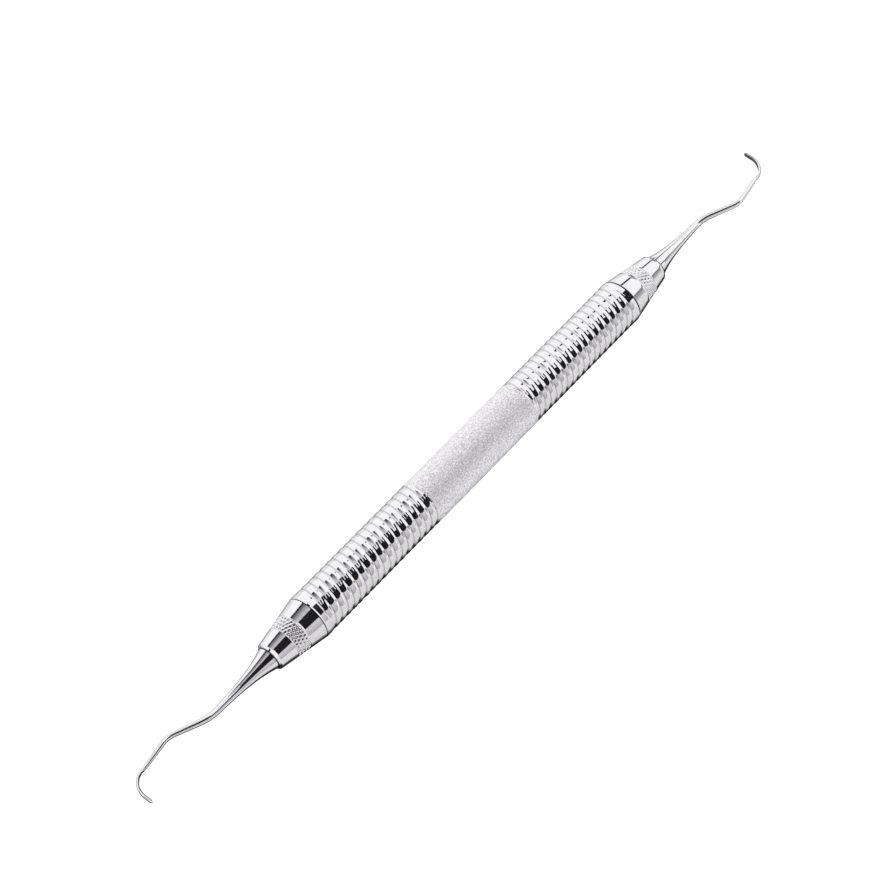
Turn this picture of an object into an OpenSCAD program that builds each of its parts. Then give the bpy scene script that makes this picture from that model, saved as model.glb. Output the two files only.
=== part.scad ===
// Double-ended dental hand scaler: a hollow handle whose two cone ends screw out.
// The handle lies along X with its middle at the origin. Millimetres, +Z up.

/* [Handle] */
// Outside diameter of the handle tube
handle_d = 9.5; // [8:0.1:11]
// Length of the handle tube
tube_l = 92; // [80:0.5:110]
// Wall thickness of the handle tube
tube_wall = 0.6; // [0.5:0.05:1.2]
// Length of the plain band in the middle
plain_l = 29; // [20:0.5:40]
// Plain lip between the ribbed grip and each end of the tube
lip_l = 1.3; // [0.5:0.1:4]
// Number of ribs on each grip
ribs = 18; // [6:1:30]
// Depth of the grooves between the ribs
groove_depth = 0.12; // [0.05:0.01:0.25]
// Part of each rib's pitch that its groove takes
groove_share = 0.5; // [0.2:0.05:0.9]

/* [Cone ends] */
// Length of a cone from its shoulder to its end face
cone_l = 10.65; // [8:0.05:14]
// Diameter of a cone at its shoulder
cone_d = 9.4; // [8:0.05:10.5]
// Diameter of a cone at its outer end, before the chamfer
cone_end_d = 5.9; // [4:0.05:7]
// Chamfer on the outer end
end_chamfer = 0.5; // [0.1:0.05:0.8]
// Distance from the shoulder to the knurled band
knurl_start = 3.75; // [1:0.05:6]
// Width of the knurled band
knurl_w = 2.75; // [1:0.05:4]
// Depth of the turned line on each side of the knurled band
knurl_line_depth = 0.08; // [0.02:0.01:0.2]
// Gap between a cone's shoulder and the tube
seam_gap = 0.05; // [0.02:0.01:0.2]

/* [Screw joint] */
// Outside diameter of the threaded stud on each cone
stud_d = 6; // [4:0.5:7]
// Pitch of the thread
thread_pitch = 1; // [0.5:0.1:1.5]
// Depth of the thread
thread_depth = 0.35; // [0.2:0.05:0.6]
// Length of thread held in the bush
engaged_l = 6.4; // [3:0.1:10]
// Length of the pilot that centres a cone in the mouth of the tube
pilot_l = 1.1; // [0.5:0.1:3]
// Radial clearance of the thread and of the pilot
running_gap = 0.05; // [0.01:0.01:0.1]
// Thickness of the seal ring
seal_d = 0.86; // [0.5:0.02:1.5]
// Floor that closes the inner end of a bush
bush_floor = 0.9; // [0.5:0.1:2]

/* [Working ends] */
// Diameter of the tang that is pressed into a cone
tang_d = 2.4; // [1.5:0.1:3]
// Length of the tang
tang_l = 7.2; // [3:0.1:9]
// Diameter of the shank where it leaves the cone
shank_d = 4.8; // [3:0.1:5]
// Diameter of the shank at its first bend
bend_d = 1.38; // [0.8:0.02:2]
// Diameter of the shank next to the blade
terminal_d = 0.76; // [0.5:0.02:1.2]
// Straight length from the cone to the first bend
straight_l = 13.5; // [8:0.1:20]
// Angle of the first bend
first_bend = 22.5; // [0:0.5:45]
// Radius of the first bend
first_bend_r = 10; // [3:0.5:20]
// Length between the bends
middle_l = 5; // [2:0.1:10]
// Angle of the second bend
second_bend = 31.5; // [0:0.5:60]
// Radius of the second bend
second_bend_r = 5; // [2:0.5:10]
// Length from the second bend to the blade
terminal_l = 6.2; // [3:0.1:12]
// Width of the blade from edge to edge
blade_w = 1; // [0.6:0.05:1.6]
// Radius of the blade's curve
blade_curve_r = 3.9; // [2:0.1:8]
// Angle that the blade turns through
blade_turn = 81; // [30:1:100]
// Straight length at the blade's toe
toe_l = 1.1; // [0:0.1:4]

/* [Hidden] */
$fn = 96;
handle_r = handle_d / 2;
bore_r = handle_r - tube_wall;
tube_half = tube_l / 2;
grip_l = tube_half - lip_l - plain_l / 2;
rib_pitch = grip_l / ribs;
press = 0.01;
edge_chamfer = 0.12;

cone_r = cone_d / 2;
cone_end_r = cone_end_d / 2;
shoulder_x = tube_half + seam_gap;
cone_x = shoulder_x + cone_l;
taper = (cone_r - cone_end_r) / (cone_l - end_chamfer);
knurl_line_w = 2 * knurl_line_depth;

pilot_x = shoulder_x - pilot_l;
pilot_r = bore_r - running_gap;
bush_x = pilot_x - seal_d - 2 * running_gap;
stud_r = stud_d / 2;
stud_x = bush_x - engaged_l;
thread_r = stud_r + running_gap;
bush_end_x = stud_x - 3 * running_gap - bush_floor;
seal_r = (stud_r + bore_r) / 2;
turns = floor((pilot_x - stud_x) / thread_pitch);

tang_r = tang_d / 2;
shank_r = shank_d / 2;
bend_wire_r = bend_d / 2;
terminal_r = terminal_d / 2;
blade_r = blade_w / 2;
face_depth = 0.02;
flare_l = 9;
flare_steps = 12;
root_l = 0.3;
root_step = 0.01;

// Distances along the bent wire, counted from the end of the straight.
arc = PI / 180;
middle_at = first_bend * arc * first_bend_r;
elbow_at = middle_at + middle_l;
terminal_at = elbow_at + second_bend * arc * second_bend_r;
blade_at = terminal_at + terminal_l;
toe_at = blade_at + blade_turn * arc * blade_curve_r;
wire_end = toe_at + toe_l + blade_r;
blade_blend = 2.4;
wire_steps = 56;
wire_sides = 20;
wire_step = (wire_end + root_l) / wire_steps;

steel = [0.78, 0.78, 0.80];
satin = [0.70, 0.70, 0.73];
silicone = [0.16, 0.16, 0.18];

// Turns an outline of [radius, x] points about the handle's axis.
module turned(outline) {
    rotate([0, 90, 0]) rotate_extrude() polygon(outline);
}

// The other end of the tool is the first one turned half round about Z.
module other_end() {
    rotate([0, 0, 180]) children();
}

// One V groove of a rib band, as three points, from its inner edge outwards.
function groove(x, depth, width, r) = [[r, x], [r - depth, x + width / 2], [r, x + width]];

function band_grooves(start) = [
    for (i = [0 : ribs - 1])
        each groove(start + (i + (1 - groove_share) / 2) * rib_pitch, groove_depth,
            groove_share * rib_pitch, handle_r)
];

module handle_tube() {
    left_band = band_grooves(-tube_half + lip_l);
    right_band = band_grooves(plain_l / 2);
    color(satin) turned(concat(
        [[bore_r, -tube_half], [handle_r - edge_chamfer, -tube_half],
            [handle_r, -tube_half + edge_chamfer]],
        left_band, right_band,
        [[handle_r, tube_half - edge_chamfer], [handle_r - edge_chamfer, tube_half],
            [bore_r, tube_half]]));
}

module threaded_bush() {
    color(satin) turned([[0, bush_end_x], [bore_r + press - edge_chamfer, bush_end_x],
        [bore_r + press, bush_end_x + edge_chamfer], [bore_r + press, bush_x],
        [thread_r, bush_x], [thread_r, bush_end_x + bush_floor], [0, bush_end_x + bush_floor]]);
}

module seal_ring() {
    color(silicone) rotate([0, 90, 0]) rotate_extrude()
        translate([seal_r, (pilot_x + bush_x) / 2]) circle(d = seal_d);
}

// Radius of a cone's side at a distance from its shoulder.
function cone_side(d) = cone_r - taper * d;

module knurled_cone() {
    thread = [for (i = [0 : turns - 1])
        each groove(stud_x + i * thread_pitch, thread_depth, thread_pitch * 0.9, stud_r)];
    knurl_end = knurl_start + knurl_w;
    color(steel) turned(concat(
        [[0, stud_x]],
        thread,
        [[stud_r, pilot_x], [pilot_r, pilot_x], [pilot_r, shoulder_x],
            [cone_r - edge_chamfer, shoulder_x], [cone_side(edge_chamfer), shoulder_x + edge_chamfer]],
        groove(shoulder_x + knurl_start - knurl_line_w, knurl_line_depth, knurl_line_w,
            cone_side(knurl_start)),
        groove(shoulder_x + knurl_end, knurl_line_depth, knurl_line_w, cone_side(knurl_end)),
        [[cone_end_r, cone_x - end_chamfer], [cone_end_r - end_chamfer, cone_x],
            [tang_r, cone_x], [tang_r, cone_x - tang_l], [0, cone_x - tang_l]]));
}

// Radius of the shank along its straight: a hollow flare that settles at the first bend's radius.
function shank_side(x) = bend_wire_r
    + (shank_r - bend_wire_r) * exp(-x / flare_l) * (1 - x / straight_l);

// Share of the way from one distance to another, held between 0 and 1.
function along(d, from, to) = min(1, max(0, (d - from) / (to - from)));
function smooth(t) = t * t * (3 - 2 * t);

// Heading of the wire at a distance: each bend adds its angle evenly along its arc.
function heading(d) = -first_bend * along(d, 0, middle_at)
    + second_bend * along(d, elbow_at, terminal_at) + blade_turn * along(d, blade_at, toe_at);

// A wire's section: half its width, its depth to the outer side and to the face side.
function section(d) =
    let (wire_r = bend_wire_r + (terminal_r - bend_wire_r) * along(d, 0, blade_at),
        blade = smooth(along(d, blade_at - blade_blend / 2, blade_at + blade_blend / 2)),
        toe = sqrt(1 - pow(along(d, wire_end - blade_r, wire_end + face_depth), 2)))
    toe * [wire_r + (blade_r - wire_r) * blade, wire_r + (blade_r - wire_r) * blade,
        wire_r + (face_depth - wire_r) * blade];

// Ring of points around the wire at a place, square to its heading.
function ring(place, d) =
    let (size = section(d), turn = heading(d))
    [for (i = [0 : wire_sides - 1])
        let (a = 360 * i / wire_sides, depth = (sin(a) > 0 ? size[2] : size[1]) * sin(a))
        [place.x - depth * sin(turn), place.y + depth * cos(turn), size[0] * cos(a)]];

// The bent wire and its half-round blade, whose flat face looks back at the handle.
module bent_wire() {
    rings = [for (i = 0, d = -root_l, place = [cone_x + straight_l - root_l, 0];
        i <= wire_steps;
        place = place + wire_step * [cos(heading(d + wire_step / 2)), sin(heading(d + wire_step / 2))],
        d = d + wire_step, i = i + 1) ring(place, d)];
    sides = [for (i = [0 : wire_steps - 1], j = [0 : wire_sides - 1])
        let (k = (j + 1) % wire_sides, a = i * wire_sides, b = a + wire_sides)
        [a + k, b + k, b + j, a + j]];
    polyhedron([for (r = rings) each r], concat(sides,
        [[for (j = [wire_sides - 1 : -1 : 0]) j]],
        [[for (j = [0 : wire_sides - 1]) wire_steps * wire_sides + j]]), convexity = 6);
}

module curette_tip() {
    flare_side = [for (i = [0 : flare_steps])
        let (x = straight_l * i / flare_steps) [shank_side(x) + root_step, cone_x + x]];
    color(steel) {
        turned(concat([[0, cone_x - tang_l], [tang_r + press, cone_x - tang_l],
            [tang_r + press, cone_x]], flare_side, [[0, cone_x + straight_l]]));
        bent_wire();
    }
}

handle_tube();
other_end() threaded_bush();  // left_threaded_bush
threaded_bush();  // right_threaded_bush
other_end() seal_ring();  // left_seal_ring
seal_ring();  // right_seal_ring
other_end() knurled_cone();  // left_knurled_cone
knurled_cone();  // right_knurled_cone
other_end() curette_tip();  // left_curette_tip
curette_tip();  // right_curette_tip
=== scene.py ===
import math

import bpy
import numpy as np
from mathutils import Matrix, Vector


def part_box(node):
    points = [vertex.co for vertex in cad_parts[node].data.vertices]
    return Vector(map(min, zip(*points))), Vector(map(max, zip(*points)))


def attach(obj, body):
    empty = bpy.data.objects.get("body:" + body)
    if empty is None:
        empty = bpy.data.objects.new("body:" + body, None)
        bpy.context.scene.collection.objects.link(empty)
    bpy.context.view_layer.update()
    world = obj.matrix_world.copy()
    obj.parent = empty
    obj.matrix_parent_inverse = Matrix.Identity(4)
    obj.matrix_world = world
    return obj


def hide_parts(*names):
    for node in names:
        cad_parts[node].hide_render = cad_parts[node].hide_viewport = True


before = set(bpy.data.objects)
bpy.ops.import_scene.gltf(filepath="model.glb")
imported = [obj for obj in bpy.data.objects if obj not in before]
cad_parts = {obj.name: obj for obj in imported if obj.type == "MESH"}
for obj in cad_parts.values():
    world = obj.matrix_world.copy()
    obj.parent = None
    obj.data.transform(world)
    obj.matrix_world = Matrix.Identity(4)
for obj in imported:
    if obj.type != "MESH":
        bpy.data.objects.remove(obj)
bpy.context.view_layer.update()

# Sizes of the tool are in millimetres and degrees, and the mesh maker turns them into metres.
mm = 0.001
nearly = 0.001  # two radii closer than this, in millimetres, are taken as the same
sharpAngle = 38.0  # an edge that turns by more than this, in degrees, is left sharp


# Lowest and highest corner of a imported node, in millimetres.
def nodeBox(name):
    low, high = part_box(name)
    return np.array(low) / mm, np.array(high) / mm


tubeLow, tubeHigh = nodeBox("handle_tube")
coneLow, coneHigh = nodeBox("right_knurled_cone")
tubeEnd, tubeRadius = tubeHigh[0], -tubeLow[2]
studEnd, coneEnd, coneRadius = coneLow[0], coneHigh[0], -coneLow[2]
tangEnd = nodeBox("right_curette_tip")[0][0]
print("frame: handle", round(2 * tubeEnd, 2), "mm long,", round(2 * tubeRadius, 2), "mm thick")


# Share of the way from start to end, held between 0 and 1: (value - start) / (end - start).
def share(value, start, end):
    return np.clip((value - start) / (end - start), 0, 1)


# Smooth step: 0 before start, 1 after end, and 3 t^2 - 2 t^3 between them, where t is the share of the way.
def smoothStep(value, start, end):
    t = share(value, start, end)
    return t * t * (3 - 2 * t)


# Angles of the columns of a grid, evenly spaced round a circle.
def aroundCircle(columns):
    return 2 * math.pi * np.arange(columns)[None, :] / columns


# Evenly spaced points along each straight of an outline, with every corner kept once.
# A corner is its x, its radius, and the largest step on the straight that starts there.
def fillOutline(corners):
    corners = np.array(corners, float)
    points, steps = corners[:, :2], corners[:, 2]
    parts = []
    for start, end, step in zip(points[:-1], points[1:], steps):
        count = max(1, math.ceil(np.linalg.norm(end - start) / step))
        parts.append(start + (end - start) * np.arange(count)[:, None] / count)
    return np.concatenate(parts + [points[-1:]])


# A grid of points becomes quads: point (i, j) joins (i, j + 1), (i + 1, j + 1) and (i + 1, j).
# Columns close round on themselves. Rows close round too, or else each end row fans in to its own middle.
def layGrid(name, points, ringClosed=False):
    rows, columns = points.shape[:2]
    vertices = points.reshape(-1, 3)
    row = np.arange(rows if ringClosed else rows - 1)[:, None]
    column = np.arange(columns)[None, :]
    nextRow, nextColumn = (row + 1) % rows, (column + 1) % columns
    corners = [row * columns + column, row * columns + nextColumn,
               nextRow * columns + nextColumn, nextRow * columns + column]
    quads = np.stack(corners, -1).reshape(-1, 4)
    fans = np.zeros((0, 3), int)
    if not ringClosed:
        around, after = column[0], nextColumn[0]
        firstPole, lastPole = len(vertices), len(vertices) + 1
        lastRow = (rows - 1) * columns
        vertices = np.concatenate([vertices, points[:1].mean(1), points[-1:].mean(1)])
        fans = np.concatenate([
            np.stack([np.full(columns, firstPole), after, around], -1),
            np.stack([np.full(columns, lastPole), lastRow + around, lastRow + after], -1)])
    mesh = bpy.data.meshes.new(name)
    mesh.vertices.add(len(vertices))
    mesh.vertices.foreach_set("co", (vertices * mm).astype(np.float32).ravel())
    mesh.loops.add(quads.size + fans.size)
    mesh.loops.foreach_set("vertex_index", np.concatenate([quads.ravel(), fans.ravel()]).astype(np.int32))
    mesh.polygons.add(len(quads) + len(fans))
    starts = np.concatenate([np.arange(len(quads)) * 4, quads.size + np.arange(len(fans)) * 3])
    mesh.polygons.foreach_set("loop_start", starts.astype(np.int32))
    mesh.update(calc_edges=True)
    mesh.polygons.foreach_set("use_smooth", np.ones(len(mesh.polygons), bool))
    mesh.set_sharp_from_angle(angle=math.radians(sharpAngle))
    piece = bpy.data.objects.new(name, mesh)
    bpy.context.scene.collection.objects.link(piece)
    return piece


# Rings about X: at place x with radius r, the point at angle t is (x, r cos t, r sin t).
def turnRings(x, r):
    angle = aroundCircle(r.shape[1])
    return np.stack([np.broadcast_to(x, r.shape), r * np.cos(angle), r * np.sin(angle)], -1)


# The other end of the tool: (x, y, z) goes to (-x, -y, z).
def turnAbout(points):
    return points * np.array([-1.0, -1.0, 1.0])


# A socket that can be written in sums, differences and products. Each of them adds a Math node.
class Term:
    def __init__(self, wires, socket):
        self.wires = wires
        self.socket = socket

    def math(self, operation, *values):
        made = self.wires.add("ShaderNodeMath", {"operation": operation}, dict(enumerate(values)))
        return Term(self.wires, made.outputs[0])

    def __add__(self, other):
        return self.math("ADD", self, other)

    def __radd__(self, other):
        return self.math("ADD", other, self)

    def __sub__(self, other):
        return self.math("SUBTRACT", self, other)

    def __rsub__(self, other):
        return self.math("SUBTRACT", other, self)

    def __mul__(self, other):
        return self.math("MULTIPLY", self, other)

    def __rmul__(self, other):
        return self.math("MULTIPLY", other, self)

    def __neg__(self):
        return self.math("MULTIPLY", self, -1)

    def __abs__(self):
        return self.math("ABSOLUTE", self)

    def cosine(self):
        return self.math("COSINE", self)

    # Angle of the point that is this far up and the other term across.
    def angleOver(self, across):
        return self.math("ARCTAN2", self, across)


# One new material and its nodes.
class Wires:
    def __init__(self, name):
        self.material = bpy.data.materials.new(name)
        self.material.use_nodes = True
        self.tree = self.material.node_tree
        self.tree.nodes.clear()

    # Any node: its settings first, then a number, colour or link for each socket named.
    def add(self, kind, settings, values):
        node = self.tree.nodes.new(kind)
        for key, value in settings.items():
            setattr(node, key, value)
        for key, value in values.items():
            source = value.socket if isinstance(value, Term) else value
            if isinstance(source, bpy.types.NodeSocket):
                self.tree.links.new(source, node.inputs[key])
            else:
                node.inputs[key].default_value = source
        return node

    # Smooth 0 to 1 as value goes from start to end.
    def step(self, value, start, end):
        made = self.add("ShaderNodeMapRange", {"interpolation_type": "SMOOTHSTEP"},
                        {"Value": value, "From Min": start, "From Max": end})
        return Term(self, made.outputs["Result"])

    # Object coordinates in metres, as one vector.
    def spot(self):
        return self.add("ShaderNodeTexCoord", {}, {}).outputs["Object"]

    # Object coordinates in metres, as the terms x, y and z.
    def spotParts(self):
        parts = self.add("ShaderNodeSeparateXYZ", {}, {0: self.spot()})
        return [Term(self, socket) for socket in parts.outputs]

    # Noise between about 0 and 1, with this many grains per metre along X, Y and Z.
    def noise(self, grains, detail=3.0):
        place = self.add("ShaderNodeMapping", {}, {"Vector": self.spot(), "Scale": grains})
        made = self.add("ShaderNodeTexNoise", {},
                        {"Vector": place.outputs[0], "Scale": 1.0, "Detail": detail})
        return Term(self, made.outputs[0])

    # One colour goes to another as share goes from 0 to 1.
    def blend(self, share, first, second):
        made = self.add("ShaderNodeMix", {"data_type": "RGBA"}, {0: share, 6: first, 7: second})
        return made.outputs[2]

    # A surface that stands up by depth, in metres, where height is 1.
    def bump(self, height, depth):
        return self.add("ShaderNodeBump", {}, {"Height": height, "Distance": depth}).outputs[0]

    # The shader of a solid surface, with these values on its sockets.
    def finish(self, values):
        shader = self.add("ShaderNodeBsdfPrincipled", {}, values)
        return self.show(shader)

    # The material shows what this node gives.
    def show(self, shader):
        self.add("ShaderNodeOutputMaterial", {}, {"Surface": shader.outputs[0]})
        return self.material


# A grey of this level, tinted by a share of red, green and blue.
def grey(level, tint=(1.0, 1.0, 1.0)):
    return tuple(level * part for part in tint) + (1.0,)


# Grains per metre for a grain of this size in millimetres, the same along X, Y and Z.
def evenly(size):
    return (1 / (size * mm),) * 3


grips = {
    "lip": 1.3, "plainHalf": 14.5, "wall": 0.6, "chamfer": 0.25, "edgeFade": 0.25,
    "ribPitch": 1.677, "ribStarts": 3, "ribDepth": 0.09,
    "crossPitch": 2.515, "crossStarts": 4, "crossDepth": 0.028,
    "columns": 120, "gripStep": 0.1, "plainStep": 4.0, "endStep": 0.3,
}

# Stains make the handle rougher by up to roughSpread. On the other pieces stains and turning rings add up to
# turnedSpread each. ringRate is how often the rings change across X, per metre. grooveEdge is a cosine.
steelLook = {
    "bright": 0.68, "dull": 0.60, "tint": (0.995, 0.99, 1.01), "stainSize": 3.0,
    "rough": 0.05, "roughSpread": 0.06, "turnedSpread": 0.036,
    "ringPitch": 0.06, "ringRate": 60.0, "ringDepth": 0.0008, "coneRingDepth": 0.0006, "tipRingDepth": 0.0003,
    # The seam shade is a grey of painted shade where the parts meet.
    "seamOut": 0.03, "seamHalf": 0.07, "seamEnd": 0.16, "paintedSeamShade": 0.06,
    # The groove shade is a grey of painted shade in the groove bottoms.
    "grooveEdge": -0.6, "paintedGrooveShade": 0.42,
}

bandLook = {
    "bright": 0.98, "dull": 0.54, "tint": (1.0, 0.985, 1.015), "rough": 0.5, "roughSpread": 0.25,
    "grain": 0.24, "grainLow": 0.3, "grainHigh": 0.7, "grainDepth": 0.04, "edgeFade": 0.12,
}

bushLook = {
    "bright": 0.58, "dull": 0.46, "tint": (1.0, 0.99, 0.97), "stainSize": 2.0,
    "rough": 0.22, "turnedSpread": 0.06, "ringPitch": 0.09, "ringRate": 60.0, "ringDepth": 0.004,
}

sealLook = {
    "dark": (0.030, 0.030, 0.034, 1), "light": (0.055, 0.055, 0.06, 1),
    "rough": 0.55, "roughSpread": 0.15, "grain": 0.08, "grainDepth": 0.006,
}


# Distance along X from the middle of the tool, in metres.
def endwise(wires):
    return abs(wires.spotParts()[0])


# The steel's colour, its stains and its turning rings: brightness drifts slowly with the stains,
# and the rings are a noise that is fine along X and slow across it.
def bareSteel(wires, look):
    stains = wires.noise(evenly(look["stainSize"]))
    rings = wires.noise((1 / (look["ringPitch"] * mm), look["ringRate"], look["ringRate"]), detail=2.0)
    colour = wires.blend(stains, grey(look["dull"], look["tint"]), grey(look["bright"], look["tint"]))
    return colour, stains, rings


# The colour is painted dark at each seam: painted shade in the narrow gap where two parts meet.
def paintShadeAtSeams(wires, distance, colour, seams, look):
    for seam in seams:
        unshaded = wires.step(abs(distance - seam * mm), look["seamHalf"] * mm, look["seamEnd"] * mm)
        colour = wires.blend(unshaded, grey(look["paintedSeamShade"]), colour)
    return colour


# Polished steel as it comes off the lathe, with painted shade at its seams if it has any.
def polishedSteel(name, look, ringDepth, seams=()):
    wires = Wires(name)
    colour, stains, rings = bareSteel(wires, look)
    if seams:
        colour = paintShadeAtSeams(wires, endwise(wires), colour, seams, look)
    return wires.finish({
        "Base Color": colour,
        "Metallic": 1.0,
        "Roughness": look["rough"] + (stains + rings) * look["turnedSpread"],
        "Normal": wires.bump(rings, ringDepth * mm)})


# Painted shade as grey lines along the bottoms of the spiral grooves: the groove's
# phase is x / pitch + starts t / 2 pi, and a line is drawn where the cosine of its turn nears -1.
def paintShadeInGrooves(wires, distance, colour, sizes, look):
    x, y, z = wires.spotParts()
    turn = z.angleOver(y) * (sizes["ribStarts"] / (2 * math.pi))
    wave = ((x * (1 / (sizes["ribPitch"] * mm)) + turn) * (2 * math.pi)).cosine()
    line = 1 - wires.step(wave, -1.0, look["grooveEdge"])
    start, end = sizes["plainHalf"] * mm, (tubeEnd - sizes["lip"]) * mm
    fade = sizes["edgeFade"] * mm
    onGrip = wires.step(distance, start, start + fade) * (1 - wires.step(distance, end - fade, end))
    return wires.blend(line * onGrip, colour, grey(look["paintedGrooveShade"], look["tint"]))


# The handle: polished over the grips and lips, and frosted by a fine grain on the plain band between them.
def handleSteel(look, band, sizes, seam):
    wires = Wires("handleSteel")
    distance = endwise(wires)
    bandEnd = sizes["plainHalf"] * mm
    frosted = 1 - wires.step(distance, bandEnd - band["edgeFade"] * mm, bandEnd)
    polished, stains, rings = bareSteel(wires, look)
    # Painted shade: grey lines in the bottoms of the grooves.
    polished = paintShadeInGrooves(wires, distance, polished, sizes, look)
    # Painted shade: a dark line at the seam by the tube's end.
    polished = paintShadeAtSeams(wires, distance, polished, (seam,), look)
    rough = look["rough"] + stains * look["roughSpread"]
    grain = wires.noise(evenly(band["grain"]), detail=2.0)
    speckle = wires.step(grain, band["grainLow"], band["grainHigh"])
    matt = wires.blend(speckle, grey(band["dull"], band["tint"]), grey(band["bright"], band["tint"]))
    mattRough = band["rough"] + grain * band["roughSpread"]
    height = frosted * grain * (band["grainDepth"] / look["ringDepth"]) + (1 - frosted) * rings
    return wires.finish({
        "Base Color": wires.blend(frosted, polished, matt),
        "Metallic": 1.0,
        "Roughness": frosted * mattRough + (1 - frosted) * rough,
        "Normal": wires.bump(height, look["ringDepth"] * mm)})


# Moulded silicone: a matt dark rubber with a fine mottle.
def silicone(look):
    wires = Wires("silicone")
    grain = wires.noise(evenly(look["grain"]))
    return wires.finish({
        "Base Color": wires.blend(grain, look["dark"], look["light"]),
        "Roughness": look["rough"] + grain * look["roughSpread"],
        "Normal": wires.bump(grain, look["grainDepth"] * mm)})


# The seam just past the tube's end and the one at the cone's end get painted shade where the parts meet.
tubeSeam = tubeEnd + steelLook["seamOut"]
handleMetal = handleSteel(steelLook, bandLook, grips, tubeSeam)
coneMetal = polishedSteel("coneSteel", steelLook, steelLook["coneRingDepth"], (tubeSeam, coneEnd))
tipMetal = polishedSteel("tipSteel", steelLook, steelLook["tipRingDepth"], (coneEnd,))
bushMetal = polishedSteel("bushSteel", bushLook, bushLook["ringDepth"])
sealRubber = silicone(sealLook)
print("materials made")


# How far the grips are cut in at place x and angle t: two families of shallow spiral grooves of opposite
# hand, each a raised cosine of x / pitch +- starts t / 2 pi, faded out at the ends of the grips.
def gripCut(x, angle, sizes):
    distance = np.abs(x)
    start, end = sizes["plainHalf"], tubeEnd - sizes["lip"]
    fade = sizes["edgeFade"]
    inside = smoothStep(distance, start, start + fade) * (1 - smoothStep(distance, end - fade, end))
    turn = angle / (2 * math.pi)
    rib = 0.5 - 0.5 * np.cos(2 * math.pi * (x / sizes["ribPitch"] + sizes["ribStarts"] * turn))
    cross = 0.5 - 0.5 * np.cos(2 * math.pi * (x / sizes["crossPitch"] - sizes["crossStarts"] * turn))
    return inside * (sizes["ribDepth"] * rib + sizes["crossDepth"] * cross)


# The tube is one closed ring of outline: out along the outside, round the chamfers and back through the bore.
def makeTube(sizes):
    bore = tubeRadius - sizes["wall"]
    edgeRadius = tubeRadius - sizes["chamfer"]
    edge = tubeEnd - sizes["chamfer"]
    gripEnd, plainEnd = tubeEnd - sizes["lip"], sizes["plainHalf"]
    small, fine, plain = sizes["endStep"], sizes["gripStep"], sizes["plainStep"]
    corners = [(-tubeEnd, bore, small), (-tubeEnd, edgeRadius, small), (-edge, tubeRadius, small),
               (-gripEnd, tubeRadius, fine), (-plainEnd, tubeRadius, plain), (plainEnd, tubeRadius, fine),
               (gripEnd, tubeRadius, small), (edge, tubeRadius, small), (tubeEnd, edgeRadius, small),
               (tubeEnd, bore, plain), (-tubeEnd, bore, plain)]
    outline = fillOutline(corners)[:-1]
    x, r = outline[:, :1], outline[:, 1:]
    outside = r > tubeRadius - nearly
    return turnRings(x, r - np.where(outside, gripCut(x, aroundCircle(sizes["columns"]), sizes), 0))


tube = layGrid("handle_tube_surface", makeTube(grips), ringClosed=True)
tube.data.materials.append(handleMetal)
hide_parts("handle_tube")
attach(tube, "handle")
print("handle tube made")


cone = {
    "endRadius": 2.95, "endChamfer": 0.5, "shoulderGap": 0.05, "edgeChamfer": 0.12,
    "knurlStart": 3.75, "knurlWidth": 2.75, "knurlLineDepth": 0.08, "knurlPitch": 0.6875, "knurlRound": 32,
    "knurlDepth": 0.16, "knurlFade": 0.06, "knurlSharpness": 1.3,
    "studRadius": 3.0, "studChamfer": 0.4, "pilotLength": 1.1, "pilotRadius": 4.1,
    "threadPitch": 1.0, "threadDepth": 0.35, "threadRunOut": 0.7,
    "tangRadius": 1.2, "tangLength": 7.2, "columns": 256,
    "studChamferStep": 0.2, "threadStep": 0.06, "faceStep": 0.3, "edgeStep": 0.1, "sideStep": 0.6,
    "lineStep": 0.05, "knurlStep": 0.045, "endChamferStep": 0.12, "endStep": 0.4, "boreStep": 0.8,
}


# Depth of the right-hand thread: a V of x / pitch - t / 2 pi, that runs out at both ends of the stud.
def threadCut(x, angle, start, end, sizes):
    phase = np.mod((x - start) / sizes["threadPitch"] - angle / (2 * math.pi), 1)
    runOut = smoothStep(x, start, start + sizes["threadRunOut"]) \
        * (1 - smoothStep(x, end - sizes["threadRunOut"], end))
    return sizes["threadDepth"] * runOut * (1 - np.abs(2 * phase - 1))


# Depth of the diamond knurl: pits where cos(a) cos(b) peaks, with a along the cone and b round it,
# so each column of pits stands half a step round from the next. A power above 1 sharpens the pits.
def knurlCut(x, angle, start, end, sizes):
    lengthways = np.cos(math.pi * ((x - start) / sizes["knurlPitch"] - 0.5))
    fade = sizes["knurlFade"]
    inside = smoothStep(x, start, start + fade) * (1 - smoothStep(x, end - fade, end))
    pits = 0.5 + 0.5 * lengthways * np.cos(sizes["knurlRound"] * angle)
    return sizes["knurlDepth"] * inside * pits ** sizes["knurlSharpness"]


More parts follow.
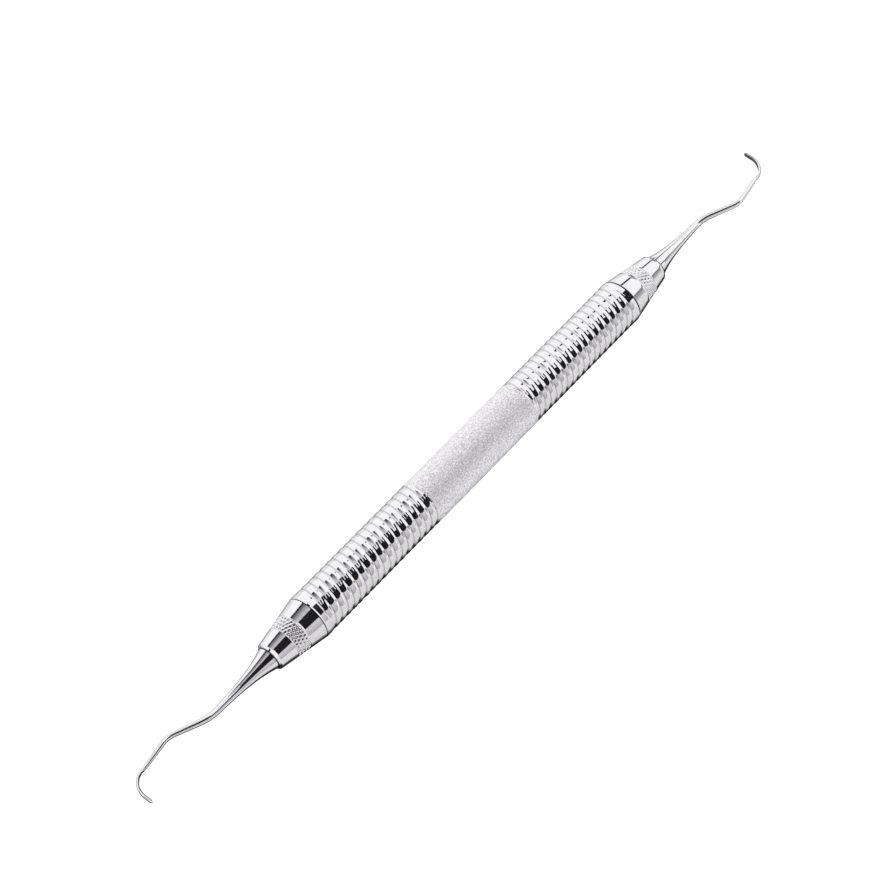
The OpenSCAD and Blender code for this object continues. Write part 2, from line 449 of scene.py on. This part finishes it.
# The outline runs from the stud's end out to the cone's end face and down into the bore that holds the tang.
def coneRings(sizes):
    shoulder = tubeEnd + sizes["shoulderGap"]
    pilot = shoulder - sizes["pilotLength"]
    studRadius, studChamfer = sizes["studRadius"], sizes["studChamfer"]
    chamfer, endChamfer = sizes["edgeChamfer"], sizes["endChamfer"]
    taper = (coneRadius - sizes["endRadius"]) / (coneEnd - shoulder - endChamfer)
    lineDepth, lineWidth = sizes["knurlLineDepth"], 2 * sizes["knurlLineDepth"]
    knurlStart = shoulder + sizes["knurlStart"]
    knurlEnd = knurlStart + sizes["knurlWidth"]

    # Radius of the cone's side: it falls by the taper for each millimetre past the shoulder.
    def side(x):
        return coneRadius - taper * (x - shoulder)

    # A turned V line across the side at x, and the step after it.
    def line(x, after):
        return [(x, side(x), sizes["lineStep"]),
                (x + lineWidth / 2, side(x) - lineDepth, sizes["lineStep"]),
                (x + lineWidth, side(x + lineWidth), after)]

    corners = [
        (studEnd, studRadius - studChamfer, sizes["studChamferStep"]),
        (studEnd + studChamfer, studRadius, sizes["threadStep"]),
        (pilot, studRadius, sizes["faceStep"]),
        (pilot, sizes["pilotRadius"], sizes["faceStep"]),
        (shoulder, sizes["pilotRadius"], sizes["faceStep"]),
        (shoulder, coneRadius - chamfer, sizes["edgeStep"]),
        (shoulder + chamfer, side(shoulder + chamfer), sizes["sideStep"]),
        *line(knurlStart - lineWidth, sizes["knurlStep"]),
        *line(knurlEnd, sizes["sideStep"]),
        (coneEnd - endChamfer, sizes["endRadius"], sizes["endChamferStep"]),
        (coneEnd, sizes["endRadius"] - endChamfer, sizes["endStep"]),
        (coneEnd, sizes["tangRadius"], sizes["boreStep"]),
        (coneEnd - sizes["tangLength"], sizes["tangRadius"], sizes["boreStep"])]
    outline = fillOutline(corners)
    x, r = outline[:, :1], outline[:, 1:]
    angle = aroundCircle(sizes["columns"])
    onStud = (np.abs(r - studRadius) < nearly) & (x < pilot)
    inKnurl = (np.abs(r - side(x)) < nearly) & (x > knurlStart) & (x < knurlEnd)
    cut = np.where(onStud, threadCut(x, angle, studEnd, pilot, sizes), 0) \
        + np.where(inKnurl, knurlCut(x, angle, knurlStart, knurlEnd, sizes), 0)
    return turnRings(x, r - cut)


# Bends turn the wire by an angle at a radius, and the stretches between them are straight.
tip = {
    "tangRadius": 1.21, "shankRadius": 2.41, "bendRadius": 0.69, "terminalRadius": 0.38,
    "straight": 13.5, "flare": 9.0, "firstBend": 22.5, "firstBendRadius": 10.0, "middle": 5.0,
    "secondBend": 31.5, "secondBendRadius": 5.0, "terminal": 6.2,
    "bladeHalfWidth": 0.5, "bladeRadius": 3.9, "bladeTurn": 81.0, "toe": 1.1, "bladeBlend": 2.4,
    "faceDepth": 0.02, "sides": 48, "fineStep": 0.01,
    "tangRows": 10, "shankRows": 60, "wireRows": 190, "toeRows": 22,
}


# The wire's centre line turns by an even amount along each bend. Its heading is the sum of the bends' shares,
# and its place is the running sum of (cos heading, sin heading). Each section is two half ellipses,
# one on the back and one on the face, which flatten from a round wire to a half-round blade.
def tipRings(sizes):
    halfWidth = sizes["bladeHalfWidth"]
    bendAt = sizes["straight"]
    middleAt = bendAt + math.radians(sizes["firstBend"]) * sizes["firstBendRadius"]
    elbowAt = middleAt + sizes["middle"]
    terminalAt = elbowAt + math.radians(sizes["secondBend"]) * sizes["secondBendRadius"]
    bladeAt = terminalAt + sizes["terminal"]
    toeAt = bladeAt + math.radians(sizes["bladeTurn"]) * sizes["bladeRadius"]
    endAt = toeAt + sizes["toe"] + halfWidth

    # Heading at a distance along the wire, in radians: each bend adds its angle times the share of it passed.
    def heading(d):
        return math.radians(-sizes["firstBend"]) * share(d, bendAt, middleAt) \
            + math.radians(sizes["secondBend"]) * share(d, elbowAt, terminalAt) \
            + math.radians(sizes["bladeTurn"]) * share(d, bladeAt, toeAt)

    fineStep = sizes["fineStep"]
    fine = np.arange(0, endAt + fineStep, fineStep)
    turns = heading(fine + fineStep / 2)
    fineX = coneEnd + np.concatenate([[0], np.cumsum(np.cos(turns))])[:-1] * fineStep
    fineY = np.concatenate([[0], np.cumsum(np.sin(turns))])[:-1] * fineStep

    inCone = np.linspace(tangEnd - coneEnd, 0, sizes["tangRows"])
    shank = np.linspace(0, bendAt, sizes["shankRows"])
    wire = np.linspace(bendAt, endAt - halfWidth, sizes["wireRows"])[1:]
    toeTurn = np.linspace(0, math.pi / 2, sizes["toeRows"])[1:-1]
    toe = endAt - halfWidth * (1 - np.sin(toeTurn))
    d = np.concatenate([inCone, shank, wire, toe])
    x = np.where(d < 0, coneEnd + d, np.interp(d, fine, fineX))
    y = np.interp(d, fine, fineY)
    turn = heading(d)

    # The shank narrows as an exponential of the distance that a straight fade brings down to the wire.
    bendRadius = sizes["bendRadius"]
    fromCone = np.clip(d, 0, bendAt)
    flare = bendRadius + (sizes["shankRadius"] - bendRadius) \
        * np.exp(-fromCone / sizes["flare"]) * (1 - fromCone / bendAt)
    thin = bendRadius + (sizes["terminalRadius"] - bendRadius) * share(d, bendAt, bladeAt)
    wireRadius = np.where(d < bendAt, flare, thin)
    wireRadius[:len(inCone)] = sizes["tangRadius"]
    blade = smoothStep(d, bladeAt - sizes["bladeBlend"] / 2, bladeAt + sizes["bladeBlend"] / 2)
    toeShare = np.sqrt(1 - share(d, endAt - halfWidth, endAt) ** 2)
    back = toeShare * (wireRadius + (halfWidth - wireRadius) * blade)
    face = toeShare * (wireRadius + (sizes["faceDepth"] - wireRadius) * blade)

    angle = aroundCircle(sizes["sides"])
    depth = np.where(np.sin(angle) > 0, face[:, None], back[:, None]) * np.sin(angle)
    width = back[:, None] * np.cos(angle)
    cosTurn, sinTurn = np.cos(turn)[:, None], np.sin(turn)[:, None]
    # Columns run from +Z through -Y, so that each ring turns the way the grid's faces need.
    return np.stack([x[:, None] - depth * sinTurn, y[:, None] + depth * cosTurn, width], -1)[:, ::-1]


for side, carry in (("left", turnAbout), ("right", lambda points: points)):
    conePiece = layGrid(side + "_cone_surface", carry(coneRings(cone)))
    conePiece.data.materials.append(coneMetal)
    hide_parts(side + "_knurled_cone")
    tipPiece = layGrid(side + "_tip_surface", carry(tipRings(tip)))
    tipPiece.data.materials.append(tipMetal)
    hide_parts(side + "_curette_tip")
    for piece in (conePiece, tipPiece):
        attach(piece, side + "_end")
    for node, finish in ((side + "_threaded_bush", bushMetal), (side + "_seal_ring", sealRubber)):
        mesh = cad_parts[node].data
        mesh.materials.clear()
        mesh.materials.append(finish)
    print(side, "end made")


# The floor's size is in metres. A shadow's pair is where it starts to fade and where it is gone.
studio = {
    "floorSize": 6.0, "floorShade": 0.80, "floorRough": 0.8, "floorGlow": 1.1, "paperGlow": 0.4,
    "skyGlow": 1.42, "shadowFront": (5.5, 9.0), "shadowBack": (0.0, 26.0), "shadowShade": 0.03,
    "cornerStart": 105.0, "cornerEnd": 125.0, "cornerSlope": 1.5, "cornerFade": 2.0,
}

# Cards that the steel mirrors. Each has its tilt and lean, its distance, half length and half height in
# metres, its levels of light, and a tint if it isn't grey. The three flags are dark ones overhead, with a
# slot between the upper two. The end cards stand past the right end, and the far cards past the left end.
cards = {
    "flagMain": (36.0, 0.09, 1.5, 0.85, 0.43, (0.02, 0.02)),
    "flagLeft": (10.8, -0.136, 1.5, 0.43, 0.26, (0.02, 0.02)),
    "flagRight": (10.8, 0.45, 1.5, 0.24, 0.25, (0.02, 0.02)),
    "fadeCard": (-23.0, -0.15, 1.6, 0.61, 0.70, (0.02, 0.85), (1.0, 0.98, 1.02)),
    "endBarHigh": (-40.0, 0.85, 1.5, 0.55, 0.10, (0.05, 0.05)),
    "endBarLow": (58.0, 0.91, 1.5, 0.27, 0.087, (0.06, 0.06)),
    "endBack": (-75.0, 0.91, 1.5, 0.27, 0.16, (0.08, 0.08)),
    "endStrip": (71.0, 0.744, 1.5, 0.29, 0.33, (0.3, 0.8)),
    "sideCard": (72.0, 0.0, 1.8, 1.1, 0.75, (0.98, 0.62), (1.0, 0.96, 1.02)),
    "farLow": (50.0, -0.98, 1.5, 0.17, 0.14, (0.04, 0.5)),
    "farHigh": (-40.0, -0.86, 1.5, 0.22, 0.12, (0.05, 0.05)),
}


# A flat sheet of given half sizes along two directions about its middle, in metres.
def layCard(name, middle, across, up):
    corners = [middle - across - up, middle + across - up, middle + across + up, middle - across + up]
    mesh = bpy.data.meshes.new(name)
    mesh.from_pydata([tuple(corner) for corner in corners], [], [(0, 1, 2, 3)])
    card = bpy.data.objects.new(name, mesh)
    bpy.context.scene.collection.objects.link(card)
    return card


# A card's glow fades smoothly from its first level to its last one, from one long edge to the other.
def glowing(name, around, half, levels, tint):
    wires = Wires(name)
    height = wires.add("ShaderNodeVectorMath", {"operation": "DOT_PRODUCT"}, {0: wires.spot(), 1: around})
    fade = wires.step(Term(wires, height.outputs["Value"]), -half, half)
    first, last = levels
    colour = wires.blend(fade, grey(first, tint), grey(last, tint))
    return wires.show(wires.add("ShaderNodeEmission", {}, {"Color": colour, "Strength": 1.0}))


# A card that faces the tool's middle: tilt is its angle from overhead towards -Y, lean its share along X.
# Its levels of light are for its edge towards +Y and for the other one.
def hangCard(name, tilt, lean, distance, halfAlong, halfRound, levels, tint=(1.0, 1.0, 1.0)):
    turn = math.radians(tilt)
    away = math.sqrt(1 - lean * lean)
    out = Vector((lean, -math.sin(turn) * away, math.cos(turn) * away))
    around = Vector((0, -math.cos(turn), -math.sin(turn)))
    along = out.cross(around).normalized()
    card = layCard(name, out * distance, along * halfAlong, around * halfRound)
    card.data.materials.append(glowing(name, around, halfRound, levels, tint))


# The floor is plain white paper for the camera. What it lights and what mirrors it sees paper with a painted
# soft shadow right under the tool, and a painted dark patch in a corner behind and beyond the tool's right
# end.
def layFloor(sizes):
    middle = Vector((0, 0, tubeLow[2] * mm))
    half = sizes["floorSize"] / 2
    floor = layCard("floor", middle, Vector((half, 0, 0)), Vector((0, half, 0)))
    wires = Wires("floorPaper")
    x, y = wires.spotParts()[:2]
    front, back = sizes["shadowFront"], sizes["shadowBack"]
    lit = wires.step(-y, front[0] * mm, front[1] * mm) + wires.step(y, back[0] * mm, back[1] * mm)
    corner = wires.step(x - sizes["cornerSlope"] * y, sizes["cornerStart"] * mm, sizes["cornerEnd"] * mm)
    lit = lit * (1 - corner * wires.step(y, 0, sizes["cornerFade"] * mm))
    paper = wires.add("ShaderNodeBsdfPrincipled", {}, {
        "Base Color": wires.blend(lit, grey(sizes["shadowShade"]), grey(sizes["floorShade"])),
        "Emission Color": wires.blend(lit, grey(0.0), grey(1.0)),
        "Emission Strength": sizes["paperGlow"],
        "Roughness": sizes["floorRough"]})
    glow = wires.add("ShaderNodeEmission", {}, {"Strength": sizes["floorGlow"]})
    path = wires.add("ShaderNodeLightPath", {}, {})
    mixed = wires.add("ShaderNodeMixShader", {},
                      {0: path.outputs["Is Camera Ray"], 1: paper.outputs[0], 2: glow.outputs[0]})
    floor.data.materials.append(wires.show(mixed))


layFloor(studio)
for name, facts in cards.items():
    hangCard(name, *facts)

# The sky is the same white all round.
world = bpy.data.worlds.new("studio")
bpy.context.scene.world = world
world.use_nodes = True
world.node_tree.nodes["Background"].inputs["Color"].default_value = (1, 1, 1, 1)
world.node_tree.nodes["Background"].inputs["Strength"].default_value = studio["skyGlow"]


# The camera's place and nearest clip are in metres, and its lens and sensor in millimetres.
shot = {
    "place": (-0.24573, -0.19460, 0.46248), "forward": (0.43736, 0.35968, -0.82422),
    "right": (0.63518, -0.77236, 0.0), "lens": 123.32, "sensor": 36.0, "nearest": 0.01,
}


# The camera's axes are right, up and back, where up is back cross right.
def setCamera(sizes):
    camera = bpy.data.cameras.new("camera")
    camera.lens = sizes["lens"]
    camera.sensor_width = sizes["sensor"]
    camera.clip_start = sizes["nearest"]
    holder = bpy.data.objects.new("camera", camera)
    bpy.context.scene.collection.objects.link(holder)
    back = -Vector(sizes["forward"]).normalized()
    right = Vector(sizes["right"]).normalized()
    up = back.cross(right)
    turned = Matrix((right, up, back)).transposed().to_4x4()
    holder.matrix_world = Matrix.Translation(Vector(sizes["place"])) @ turned
    bpy.context.scene.camera = holder


setCamera(shot)
bpy.context.scene.view_settings.view_transform = "Standard"
print("studio and camera made")
